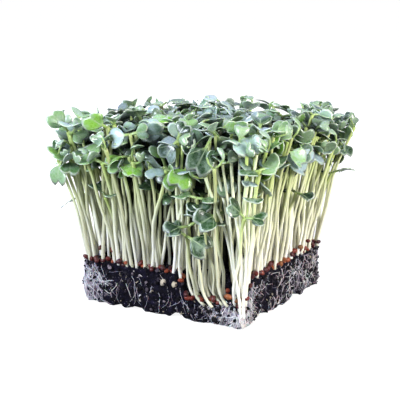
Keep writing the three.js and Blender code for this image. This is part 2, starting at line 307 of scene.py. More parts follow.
def makeSprout(place, number, stream, circle):
    # one sprout from twelve random numbers: its root stands on a circle round the place, its tip fans out in
    # step with its height, and its leaf pair tilts outwards, more so at the edge
    around, out, tipX, tipY, tall, short, twist, tilted, strayed, size, risen, drooped = (
        next(stream) for _ in range(12))
    rootTurn = 2 * math.pi * (number + knot["turnSpread"] * around) / tufts["sproutsEach"]
    rootOut = circle * (knot["inmost"] + knot["outRange"] * out)
    root = np.array([
        place["x"] + rootOut * math.cos(rootTurn), place["y"] + rootOut * math.sin(rootTurn), place["top"],
    ])
    if short < stand["shortShare"] * place["edge"]:
        height = stand["shortest"] + stand["shortRange"] * tall
    else:
        height = stand["top"] - (stand["range"] + stand["edgeRange"] * place["edge"] ** 2) * tall
    grown = (height - slab["height"]) / (stand["top"] - slab["height"])
    fan = 1 + (stem["spread"] - 1) * grown
    tip = np.array([
        root[0] * fan + stem["wander"] * (2 * tipX - 1),
        root[1] * fan + stem["wander"] * (2 * tipY - 1),
        height,
    ])
    stray = math.pi * (2 * strayed - 1) * (1 - lean["outwardAtEdge"] * place["edge"])
    outTurn = math.atan2(place["y"], place["x"]) + stray
    tilt = lean["least"] + tilted * (lean["range"] + lean["edgeRange"] * place["edge"] ** 2)
    level = math.sin(tilt)
    normal = np.array([level * math.cos(outTurn), level * math.sin(outTurn), math.cos(tilt)])
    sideways = np.array([-math.sin(outTurn), math.cos(outTurn), 0.0])
    uphill = np.cross(normal, sideways)
    turn = 2 * math.pi * twist
    axis = sideways * math.cos(turn) + uphill * math.sin(turn)
    drawn = dict(stalk=size, blade=size, rise=risen, droop=drooped)
    return dict(
        root=root, tip=tip, normal=normal, axis=axis, across=np.cross(normal, axis),
        bow=stem["bow"] * (2 * size - 1), bowTurn=2 * math.pi * drooped, row=place["row"],
        shut=False, pale=0.0, hook=np.zeros(2),
        **{key: leaf[key] + leaf[f"{key}Range"] * value for key, value in drawn.items()},
    )


def lobe(across):
    # reach of the outline as a share of the blade's length: a bell-shaped notch in the middle, times the
    # square root of one minus the cube of across, which rounds the shoulders
    notch = 1 - leaf["notch"] * np.exp(-(across / leaf["notchWidth"]) ** 2)
    return notch * np.sqrt(1 - np.abs(across) ** 3)


# a pair that is still shut
pod = dict(gap=0.5, bulge=3.2, fullness=0.8, reach=6.5, narrow=0.68, height=0.8)


def leafForm(out, y, rise, droop, length, shut):
    # an open leaf rises in step with out, arches over with its square and cups up with the square of y. A
    # shut one stands up as a quarter sine and bulges round its twin as a half sine.
    openZ = rise * out - droop * out * out + leaf["cup"] * y * y
    share = np.clip(out / length, 0, 1)
    rounded = np.sin(np.pi * share ** pod["fullness"]) * (1 - (y / pod["reach"]) ** 2)
    bulge = pod["gap"] + pod["bulge"] * rounded
    stood = pod["height"] * length * np.sin(0.5 * np.pi * share)
    return np.where(shut, bulge, out), np.where(shut, pod["narrow"] * y, y), np.where(shut, stood, openZ)


sampledAlong, sampledAcross = np.meshgrid([0.3, 0.55, 0.8, 1], np.linspace(-0.9, 0.9, 9), indexing="ij")
sampledReach = (sampledAlong * lobe(sampledAcross)).ravel()
sampledTurn = leaf["fan"] * sampledAcross.ravel()


def leafSamples(sprout):
    # points spread over both leaves of a pair: two on the stalk, then a fan of them on the blade
    stalk, blade = sprout["stalk"], sprout["blade"]
    reach = blade * sampledReach
    x = np.concatenate([[0.5 * stalk, stalk], stalk + reach * np.cos(sampledTurn)])
    y = np.concatenate([[0, 0], reach * np.sin(sampledTurn) + leaf["shoulder"] * sampledAcross.ravel()])
    x, y, z = leafForm(x, y, sprout["rise"], sprout["droop"], stalk + blade, sprout["shut"])
    x, y, z = np.concatenate([[0], x, -x]), np.concatenate([[0], y, -y]), np.concatenate([[0], z, z])
    return (sprout["tip"] + x[:, None] * sprout["axis"] + y[:, None] * sprout["across"]
            + z[:, None] * sprout["normal"])


def stemAt(root, tip, bow, bowTurn, share):
    # the middle of a stem at a share of its height: it leans out partly in step with the share and partly
    # with its square, and bows as a half sine
    out = stem["evenLean"] * share + (1 - stem["evenLean"]) * share * share
    swing = bow * np.sin(np.pi * share)
    x = root[..., 0] + (tip[..., 0] - root[..., 0]) * out + swing * np.cos(bowTurn)
    y = root[..., 1] + (tip[..., 1] - root[..., 1]) * out + swing * np.sin(bowTurn)
    return x, y


def gapToStems(root, tip, bow, bowTurn, points):
    # least level distance from stems to points that are beside them
    z = points[..., 2]
    x, y = stemAt(root, tip, bow, bowTurn, (z - root[..., 2]) / (tip[..., 2] - root[..., 2]))
    beside = (z <= tip[..., 2]) & (z >= root[..., 2])
    return np.where(beside, np.hypot(x - points[..., 0], y - points[..., 1]), farAway).min()


class Standing:
    # the sprouts that stand, kept as arrays so that a new one is tested against all at once
    def __init__(self, room):
        self.count = 0
        self.sprouts = []
        self.root, self.tip = np.zeros((room, 3)), np.zeros((room, 3))
        self.bow, self.bowTurn = np.zeros(room), np.zeros(room)
        self.samples = np.zeros((room, 2 * (sampledReach.size + 2) + 1, 3))

    def add(self, sprout, samples):
        n = self.count
        self.root[n], self.tip[n] = sprout["root"], sprout["tip"]
        self.bow[n], self.bowTurn[n] = sprout["bow"], sprout["bowTurn"]
        self.samples[n] = samples
        self.sprouts.append(sprout)
        self.count += 1

    def stemGap(self, sprout):
        # least distance between stems, level by level
        n = self.count
        if not n:
            return farAway
        root, tip = self.root[:n, None], self.tip[:n, None]
        low = np.maximum(self.root[:n, 2], sprout["root"][2]) + 1
        high = np.minimum(self.tip[:n, 2], sprout["tip"][2])
        z = low[:, None] + levels["pitch"] * np.arange(levels["count"])[None]
        ownShare = (z - sprout["root"][2]) / (sprout["tip"][2] - sprout["root"][2])
        own = stemAt(sprout["root"], sprout["tip"], sprout["bow"], sprout["bowTurn"], ownShare)
        share = (z - root[..., 2]) / (tip[..., 2] - root[..., 2])
        others = stemAt(root, tip, self.bow[:n, None], self.bowTurn[:n, None], share)
        gap = np.hypot(own[0] - others[0], own[1] - others[1])
        return float(np.where(z < high[:, None], gap, farAway).min())

    def leafGaps(self, sprout, samples, step=1):
        # least distances between stems and leaves, and between leaves, among the neighbours within reach
        n = self.count
        longest = leaf["stalk"] + leaf["stalkRange"] + leaf["blade"] + leaf["bladeRange"]
        reach = 2 * longest + apart["leaves"]
        flat = np.hypot(*(self.tip[:n, :2] - sprout["tip"][:2]).T)
        near = np.flatnonzero(flat <= reach)
        if not len(near):
            return farAway, farAway
        others = self.samples[near][:, ::step]
        own = samples[::step]
        gap = min(
            gapToStems(sprout["root"], sprout["tip"], sprout["bow"], sprout["bowTurn"], others),
            gapToStems(self.root[near, None], self.tip[near, None], self.bow[near, None],
                       self.bowTurn[near, None], own[None]),
        )
        if gap <= apart["touching"]:
            return float(gap), 0.0
        flatOthers = others.reshape(-1, 3)
        square = (own ** 2).sum(1)[:, None] + (flatOthers ** 2).sum(1)[None] - 2 * own @ flatOthers.T
        return float(gap), float(math.sqrt(max(square.min(), 0)))


def staysInCanopy(samples):
    # below the top, and inside a rounded square: high powers of x and y add up to less than the half side's
    power = canopy["corner"]
    out = np.abs(samples[:, 0]) ** power + np.abs(samples[:, 1]) ** power
    return bool(((out < canopy["half"] ** power) & (samples[:, 2] < canopy["top"])).all())


def growSprouts(places):
    # the sprouts that the solids have: each tuft gets its first, then its second, and so on
    stream = randomStream(growth["solidStream"])
    standing = Standing(growth["room"])
    for number in range(tufts["sproutsEach"]):
        for place in places:
            for _ in range(growth["tries"]):
                sprout = makeSprout(place, number, stream, knot["stemCircle"])
                samples = leafSamples(sprout)
                if not staysInCanopy(samples) or standing.stemGap(sprout) < apart["stems"]:
                    continue
                stemGap, leafGap = standing.leafGaps(sprout, samples)
                if stemGap > apart["stemAndLeaf"] and leafGap > apart["leaves"]:
                    standing.add(sprout, samples)
                    break
    return standing


fill = dict(
    pitch=3.3, margin=1.9, jitter=1.15, circle=0.8, tries=6, leastStemGap=1.4, leastLeafGap=0.5,
    enoughStemGap=1.4, enoughLeafGap=2.5, cornerCut=0.8, edgeFrom=0.85, edgeReach=36.6,
)
edgeRows = dict(pitch=2.0, insets=(0.2, 1.9, 3.8, 5.8), leastStemGap=1.2)
cornerClumps = dict(inset=2.5, reach=4.5, count=26, corners=((-1, -1), (1, 1), (-1, 1)), leastStemGap=1.0)
# shut: pairs that aren't open yet; stray: stems that lean across others
odd = dict(
    shutShare=0.1, shutAtEdge=0.1, shutBlade=0.86, nod=0.55, nodRange=0.35, strayShare=0.2, strayReach=18,
    lean=3.5, tumble=1.7, tumblePower=2.2, lower=8, lowerPower=1.5, lowerAtEdge=0.35, least=70,
)
lowPairs = dict(
    x=23, y=-41.5, reachX=9, reachY=2, low=38, high=66, outward=4, outwardRange=3, count=12, leastStemGap=1.2,
)
bundle = dict(
    x=41.2, y=-41.2, z=5.5, ring=1.3, turn=2.4, count=7, firstX=28, stepX=3.7, firstY=-48.5, stepY=0.6,
    tall=66, tallRange=16, blade=0.8, tries=40, leastStemGap=0.15,
)
hooked = dict(reach=15, steepness=2, foot=(5.5, -1.4), sunk=0.6, thinner=0.22)


def addBest(standing, stream, place, change, leastStemGap, draws=fill["tries"]):
    # the clearest of a few draws at one place, whose two gaps add up to most, each counted up to what is
    # enough
    best = None
    for _ in range(draws):
        sprout = change(makeSprout(place, 0, stream, fill["circle"]))
        samples = leafSamples(sprout)
        if not staysInCanopy(samples) or standing.stemGap(sprout) < leastStemGap:
            continue
        stemGap, leafGap = standing.leafGaps(sprout, samples, step=2)
        score = min(stemGap, fill["enoughStemGap"]) + min(leafGap, fill["enoughLeafGap"])
        if leafGap > fill["leastLeafGap"] and (best is None or score > best[0]):
            best = (score, sprout, samples)
    if best:
        standing.add(best[1], best[2])


def tumbled(sprout, amount, turn):
    # the leaf pair turned about a level axis: most pairs hardly, some until they stand on edge
    angle = odd["tumble"] * amount ** odd["tumblePower"]
    cos, sin = math.cos(angle), math.sin(angle)
    pivot = np.array([math.cos(2 * math.pi * turn), math.sin(2 * math.pi * turn), 0])

    def turned(v):
        return v * cos + np.cross(pivot, v) * sin + pivot * (pivot @ v) * (1 - cos)

    return dict(sprout, **{key: turned(sprout[key]) for key in ("normal", "axis", "across")})


def placeAt(x, y, edge):
    # a place on the slab, in the row of tufts that it is nearest to
    last = tufts["perSide"] - 1
    row = int(np.clip(round(y / tufts["pitch"] + last / 2), 0, last))
    return dict(x=x, y=y, top=float(topOfSlab(x, y)), edge=edge, row=row)


def fillStand(standing):
    # the rest of the real stand: low pairs over the bite, a bundle at the bare corner, and a sprout at each
    # free spot of a finer grid
    stream = randomStream(growth["fillStream"])
    half = slab["side"] / 2 - fill["margin"]

    def swing(reach):
        return reach * (2 * next(stream) - 1)

    def low(sprout):
        height = lowPairs["low"] + (lowPairs["high"] - lowPairs["low"]) * next(stream)
        shift = [swing(1), -lowPairs["outward"] - lowPairs["outwardRange"] * next(stream), height]
        return dict(sprout, tip=sprout["root"] * [1, 1, 0] + shift)

    def common(sprout):
        kind = next(stream)
        outer = np.abs(sprout["root"][:2]).max() > fill["edgeFrom"] * half
        drop = odd["lower"] * next(stream) ** odd["lowerPower"] * (odd["lowerAtEdge"] if outer else 1)
        lift = max(0, odd["least"] - sprout["tip"][2]) - drop
        leant = sprout["tip"] + np.array([swing(odd["lean"]), swing(odd["lean"]), lift])
        amount, turn = next(stream), next(stream)
        sprout = dict(sprout, tip=leant)
        if kind < odd["shutShare"] + odd["shutAtEdge"] * outer:
            nodding = tumbled(sprout, odd["nod"] + odd["nodRange"] * amount, turn)
            return dict(nodding, shut=True, blade=odd["shutBlade"] * sprout["blade"])
        sprout = tumbled(sprout, amount, turn)
        if kind > 1 - odd["strayShare"]:
            turn = 2 * math.pi * next(stream)
            reach = odd["strayReach"] * (0.5 + 0.5 * next(stream))
            shift = reach * np.array([math.cos(turn), math.sin(turn), 0])
            out = sprout["root"] * [1, 1, 0] / math.hypot(*sprout["root"][:2])
            return dict(sprout, tip=sprout["tip"] + shift - out * max(0, shift @ out))
        return sprout

    def tryAt(x, y, leastStemGap):
        x = float(np.clip(x + swing(fill["jitter"]), -half, half))
        y = float(np.clip(y + swing(fill["jitter"]), -half, half))
        if abs(x) + abs(y) < 2 * half - fill["cornerCut"]:
            edge = min(max(abs(x), abs(y)) / fill["edgeReach"], 1)
            addBest(standing, stream, placeAt(x, y, edge), common, leastStemGap)

    for _ in range(lowPairs["count"]):
        x = lowPairs["x"] + swing(lowPairs["reachX"])
        y = lowPairs["y"] + swing(lowPairs["reachY"])
        addBest(standing, stream, placeAt(x, y, 1), low, lowPairs["leastStemGap"])

    for k in range(bundle["count"]):
        turn = bundle["turn"] * k
        x, y = bundle["x"] + bundle["ring"] * math.cos(turn), bundle["y"] + bundle["ring"] * math.sin(turn)
        tip = [bundle["firstX"] + bundle["stepX"] * k, bundle["firstY"] + bundle["stepY"] * k]

        def bundled(sprout):
            above = np.array([*tip, bundle["tall"] + bundle["tallRange"] * next(stream)])
            return dict(sprout, tip=above, shut=k % 2 == 0, pale=1.0, blade=bundle["blade"] * sprout["blade"])

        addBest(standing, stream, dict(placeAt(x, y, 1), top=bundle["z"]), bundled, bundle["leastStemGap"],
                bundle["tries"])

    for _ in range(cornerClumps["count"]):
        for corner in cornerClumps["corners"]:
            x, y = (way * (half - cornerClumps["inset"] + cornerClumps["reach"] * (next(stream) - 0.5))
                    for way in corner)
            addBest(standing, stream, placeAt(x, y, 1), common, cornerClumps["leastStemGap"])

    for inset in edgeRows["insets"]:
        steps = int(2 * (half - inset) / edgeRows["pitch"])
        for k in range(steps):
            x, y = -half + inset + 2 * (half - inset) * (k + 0.5) / steps, inset - half
            for _ in range(4):
                tryAt(x, y, edgeRows["leastStemGap"])
                x, y = -y, x
    steps = int(2 * half / fill["pitch"]) + 1
    for row in range(steps):
        for column in range(steps):
            x, y = (-half + 2 * half * k / (steps - 1) for k in (column, row))
            tryAt(x, y, fill["leastStemGap"])


def hookFeet(standing):
    # stems that root in the bite sweep sideways over the mix before they rise
    for sprout in standing.sprouts:
        away = math.hypot(sprout["root"][0] - crumbled[0]["x"], sprout["root"][1] - crumbled[0]["y"])
        share = min(1, hooked["steepness"] * max(0, 1 - away / hooked["reach"]))
        sprout["hook"] = np.array(hooked["foot"]) * share
        footX, footY = sprout["root"][:2] + sprout["hook"]
        above = sprout["root"][2] - float(topOfSlab(footX, footY)) + hooked["sunk"]
        sprout["root"][2] -= share * max(0, above)


places = tuftPlaces()
standing = growSprouts(places)
solidCount = standing.count
print("sprouts that the solids have:", solidCount)
fillStand(standing)
hookFeet(standing)
print("sprouts in the whole stand:", standing.count, "the bundle has", sum(
    sprout["root"][2] == bundle["z"] for sprout in standing.sprouts))


def gathered(key):
    # one value of every sprout, as an array
    return np.array([sprout[key] for sprout in standing.sprouts])


# Stems and leaves

# taper: radius at shares of the height; pale: how the bare stems of the bundle differ
stemFinish = dict(
    sides=7, taper=((0, 0.86), (0.05, 0.86), (0.2, 0.79), (0.85, 0.72), (0.95, 0.792), (1, 0.95)),
    thinnest=0.8, sizeRange=0.38, sunk=0.8, wobble=0.85, wobblesX=7, wobblesY=6, hookShare=0.16,
    toneFall=1.4, hookedTone=0.9, paleGrowth=0.35, paleWidth=-0.14, paleFoot=0.3, paleReach=0.25,
)
stemShares = np.array([0, 0.02, 0.05, 0.09, 0.14, 0.22, 0.34, 0.48, 0.61, 0.74, 0.85, 0.93, 0.975, 1.0])
# painted shade: how far inside the stand it sets in for stems and for leaves, the range over which it grows,
# and the depth below the canopy's top over which it grows on leaves
shade = dict(stemsFrom=5.2, leavesFrom=2, range=14, below=9)


def howDeep(x, y, z, start):
    # mask of the painted shade: 0 at the outside of the stand and 1 well inside it, where hardly any light
    # comes in: the distance in from the fanned-out sides, past start, as a share of the range
    fan = 1 + (stem["spread"] - 1) * np.clip((z - slab["height"]) / (stand["top"] - slab["height"]), 0, 1)
    inside = slab["side"] / 2 - np.maximum(np.abs(x), np.abs(y)) / fan
    return np.clip((inside - start) / shade["range"], 0, 1)


def stemMaterial():
    # stem of a radish seedling: juicy and translucent, near-white at the foot and yellow-green at the top
    material = newMaterial("pale radish stem")
    along, tone, deep = (addNode(material, "ShaderNodeAttribute", output="Fac", attribute_name=key)
                         for key in ("along", "tone", "deep"))
    base = addNode(material, "ShaderNodeValToRGB", {"Fac": along}, stops=[
        (0.0, "#fbf8f5"), (0.22, "#f6f5ea"), (0.5, "#ebefd6"), (0.75, "#d9e5ae"), (0.92, "#bfd280"),
        (1.0, "#a9c568"),
    ])
    place = addNode(material, "ShaderNodeTexCoord", output="Object")
    drawnOut = addNode(material, "ShaderNodeMapping", {"Vector": place, "Scale": (1, 1, 0.12)})
    streaks = addNode(material, "ShaderNodeTexNoise", {
        "Vector": drawnOut, "Scale": 1 / (1.2 * mm), "Detail": 2, "Roughness": 0.55,
    })
    # painted shade of the dense stand: stems well inside are olive, then nearly black
    base = coverWith(material, base, [
        (streaks, 0.35, 0.7, 0, 0.3, "#c6cb9e"),
        (tone, 0, 1, 0, 0.55, "#b3b489"),
        (deep, 0.05, 0.75, 0, 0.75, "#7b8058"),
        (deep, 0.45, 1, 0, 0.92, "#1c1f14"),
    ])
    shader = addNode(material, "ShaderNodeBsdfPrincipled", {
        "Base Color": base, "Roughness": 0.48, "IOR": 1.4, "Subsurface Weight": 0.25,
        "Subsurface Radius": (1.0, 1.0, 0.55), "Subsurface Scale": 0.9 * mm,
        "Normal": addNode(material, "ShaderNodeBump", {"Height": streaks, "Distance": 0.07 * mm}),
    })
    addNode(material, "ShaderNodeOutputMaterial", {"Surface": shader})
    return material


def buildStems(material):
    # one tube for each stem. It follows stemAt with two slow sines on top, and the hooked ones start beside
    # their root by a square that falls to nothing at hookShare.
    root, tip, bow, bowTurn, hook = (gathered(key) for key in ("root", "tip", "bow", "bowTurn", "hook"))
    rows, pale = gathered("row"), gathered("pale")
    hookedBy = np.hypot(*hook.T) / math.hypot(*hooked["foot"])
    tone = chance.random(len(rows)) ** stemFinish["toneFall"]
    tone = np.maximum(tone, stemFinish["hookedTone"] * hookedBy) * (1 - pale)
    share = stemShares[None]
    x, y = stemAt(root[:, None], tip[:, None], bow[:, None], bowTurn[:, None], share)
    phase = chance.random((len(rows), 2)) * fullTurn
    swing = stemFinish["wobble"] * np.sin(np.pi * share)
    sweep = np.clip(1 - share / stemFinish["hookShare"], 0, 1) ** 2
    x = x + swing * np.sin(stemFinish["wobblesX"] * share + phase[:, :1]) + hook[:, :1] * sweep
    y = y + swing * np.sin(stemFinish["wobblesY"] * share + phase[:, 1:]) + hook[:, 1:] * sweep
    z = root[:, 2:] - stemFinish["sunk"] + (tip[:, 2:] - root[:, 2:] + stemFinish["sunk"]) * share
    centres = np.stack([x, y, z], axis=-1)
    size = stemFinish["thinnest"] + stemFinish["sizeRange"] * chance.random((len(rows), 1))
    taper = np.interp(stemShares, *zip(*stemFinish["taper"]))
    radii = size * taper[None] * (1 + stemFinish["paleWidth"] * pale - hooked["thinner"] * hookedBy)[:, None]
    radii = radii * (1 - stemFinish["paleFoot"] * pale[:, None] * np.exp(-share / stemFinish["paleReach"]))
    ringAlong = np.concatenate([np.repeat(stemShares, stemFinish["sides"]), [0, 1]])
    for row in range(tufts["perSide"]):
        picked = rows == row
        points, faces, stride = tubes(centres[picked], radii[picked], stemFinish["sides"])
        points = keepInside(points)
        along = np.tile(ringAlong, picked.sum())
        along = along * (1 - stemFinish["paleGrowth"] * np.repeat(pale[picked], stride))
        # deep carries the painted shade inside the stand
        piece = newPiece(f"stems_row_{row + 1}", points, faces, material, "stem", along=along,
                         tone=np.repeat(tone[picked], stride), deep=howDeep(*points.T, shade["stemsFrom"]))
        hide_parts(*(p["name"] for p in places if p["row"] == row))


leafFinish = dict(
    stalkHalfWidth=0.6, stalkThickness=1.1, bladeThickness=0.5, neck=0.5, neckReach=0.15, unlike=0.12,
    riseSpread=0.3, solidRise=0.8, fillRise=2.2, fold=0.32, curl=1.2, ripple=0.5, ripples=5, crease=0.28,
    creaseWidth=0.12,
)
# tone: 0 is dark green and 1 bright green. Low leaves and most of those at the back edges get a lower tone as
# painted shade, low leaves get less painted sheen, and darker gives leaves away from the front painted shade
leafTones = dict(
    spread=0.16, lowFrom=70, lowRange=20, low=0.9, lowSheen=0.8, backFrom=36, backRange=8, frontEnd=-30,
    back=0.85, backShare=0.7, darker=0.5, darkerFall=1.5, sheenFall=1.5, frontFrom=-20, frontRange=20,
    shutTone=0.5, shutToneRange=0.2, shutSheen=0.35, shutSheenRange=0.4,
)
acrossSteps = np.array([0.12, 0.28, 0.48, 0.68, 0.84, 0.94, 0.99])
acrossSteps = np.concatenate([-acrossSteps[::-1], [0], acrossSteps])
stalkSteps = np.array([-0.15, 0.45])
bladeSteps = np.array([0.0, 0.24, 0.55, 0.86, 1.0])


def leafMaterial():
    # radish seed leaf: fleshy and grey-green, with fan veins and a pale translucent rim, and a painted pale
    # bluish sheen that stands for the sky's reflection on its waxy top
    material = newMaterial("radish seed leaf")
    along, across, tone, under, paintedSheen, deep = (
        addNode(material, "ShaderNodeAttribute", output="Fac", attribute_name=key)
        for key in ("along", "across", "tone", "under", "paintedSheen", "deep"))
    place = addNode(material, "ShaderNodeTexCoord", output="Object")
    blotch, grain = (
        addNode(material, "ShaderNodeTexNoise", {
            "Vector": place, "Scale": 1 / (size * mm), "Detail": 3, "Roughness": 0.55,
        }) for size in (3.2, 0.9))
    # painted sheen: the pale bluish reflection of the sky on the waxy leaf, in patches of the blotch noise
    sheenPatches = addNode(material, "ShaderNodeMath", {0: blotch, 1: 0.6, 2: paintedSheen}, operation="MULTIPLY_ADD")
    # veins fan out from the stalk at steps of across, the middle one is the widest, and all fade outwards
    fanned = addNode(material, "ShaderNodeMath", {0: across, 1: 0.34}, operation="PINGPONG")
    offMiddle = addNode(material, "ShaderNodeMath", {0: across}, operation="ABSOLUTE")
    fine, middle, fade, satin = (
        addNode(material, "ShaderNodeMapRange", {0: value, 1: low, 2: high, 3: atLow, 4: atHigh},
                interpolation_type="SMOOTHSTEP")
        for value, low, high, atLow, atHigh in (
            (fanned, 0, 0.05, 1, 0), (offMiddle, 0.02, 0.1, 1, 0), (along, 0.5, 0.95, 0.75, 0.15),
            (grain, 0.3, 0.7, 0.22, 0.42)))
    veins = addNode(material, "ShaderNodeMath", {0: fine, 1: middle}, operation="MAXIMUM")
    veins = addNode(material, "ShaderNodeMath", {0: veins, 1: fade}, operation="MULTIPLY")
    base = addNode(material, "ShaderNodeValToRGB", {"Fac": tone}, stops=[
        (0.0, "#13330f"), (0.2, "#335b25"), (0.42, "#6d9558"), (0.62, "#9fbf88"), (0.8, "#83b244"),
        (1.0, "#8cc72a"),
    ])
    base = coverWith(material, base, [
        (blotch, 0.42, 0.7, 0, 0.42, "#adc3a9"),
        (sheenPatches, 0.6, 1.25, 0, 0.78, "#cbdde0"),
        (under, 0, 1, 0, 0.45, "#a9b99a"),
    ])
    base = addNode(material, "ShaderNodeMix", {0: veins, 6: base, 7: "#bccda0"}, output=2, data_type="RGBA")
    # the stalk, the rim, and the painted shade under the canopy's top and inside the stand, which also
    # falls at random on leaves away from the front
    base = coverWith(material, base, [
        (along, 0.2, 0.46, 1, 0, "#b0c676"),
        (along, 0.9, 0.975, 0, 0.8, "#dfe9d0"),
        (deep, 0.05, 0.8, 0, 0.93, "#0d2108"),
    ])
    shader = addNode(material, "ShaderNodeBsdfPrincipled", {
        "Base Color": base, "Roughness": satin, "IOR": 1.45, "Specular IOR Level": 0.85,
        "Coat Weight": 0.5, "Coat Roughness": 0.26, "Coat Tint": "#e4f0ff",
        "Subsurface Weight": 0.2, "Subsurface Radius": (0.6, 1.0, 0.25), "Subsurface Scale": 0.8 * mm,
        "Normal": addNode(material, "ShaderNodeBump", {"Height": grain, "Distance": 0.07 * mm}),
    })
    addNode(material, "ShaderNodeOutputMaterial", {"Surface": shader})
    return material


def leafSkins():
    # faces of two skins over one grid. They share the outline, which is both edge columns and the last row,
    # so the lower skin has only inner points. A strip of faces closes the foot of the stalk.
    rows, columns = len(stalkSteps) + len(bladeSteps), len(acrossSteps)
    upper = np.arange(rows * columns).reshape(rows, columns)
    inner = np.zeros((rows, columns), dtype=bool)
    inner[:-1, 1:-1] = True
    lower = upper.copy()
    lower[inner] = rows * columns + np.arange(inner.sum())
    here, ahead = slice(None, -1), slice(1, None)
    corners = [(here, here), (ahead, here), (ahead, ahead), (here, ahead)]
    skins = [np.stack([skin[at] for at in order], axis=-1).reshape(-1, 4)
             for skin, order in ((upper, corners), (lower, corners[::-1]))]
    j = np.arange(1, columns - 2)
    foot = np.stack([upper[0, j], upper[0, j + 1], lower[0, j + 1], lower[0, j]], axis=-1)
    footEnds = np.array([[upper[0, 0], upper[0, 1], lower[0, 1]], [upper[0, -1], lower[0, -2], upper[0, -2]]])
    return np.concatenate([*skins, foot]), footEnds, inner


def leafColouring(tip, shut, pick, pairTone):
    # tone, painted sheen and painted shade of each leaf, from where it stands and its own random numbers: low
    # leaves and most at the back edges get a lower tone as painted shade, and low leaves less sheen
    x, y, z = tip.T
    low = np.clip((leafTones["lowFrom"] - z) / leafTones["lowRange"], 0, 1)
    tone = np.clip(pairTone + leafTones["spread"] * (pick[:, 0] - 0.5), 0, 1) * (1 - leafTones["low"] * low)
    atBack = np.clip((np.maximum(y, -x) - leafTones["backFrom"]) / leafTones["backRange"], 0, 1)
    picked = (y > leafTones["frontEnd"]) & (pick[:, 5] < leafTones["backShare"])
    tone = tone * (1 - leafTones["back"] * atBack * picked)
    # painted sheen: random for each leaf, a set amount on shut pairs, and less on low leaves, which lie in
    # shade
    paintedSheen = pick[:, 6] ** leafTones["sheenFall"]
    shutSheen = leafTones["shutSheen"] + leafTones["shutSheenRange"] * paintedSheen
    paintedSheen = np.where(shut, shutSheen, paintedSheen * (1 - leafTones["lowSheen"] * low))
    tone = np.where(shut, leafTones["shutTone"] + leafTones["shutToneRange"] * tone, tone)
    atFront = np.clip((leafTones["frontFrom"] - y) / leafTones["frontRange"], 0, 1)
    darker = leafTones["darker"] * pick[:, 7] ** leafTones["darkerFall"] * (1 - atFront)
    return tone, paintedSheen, darker


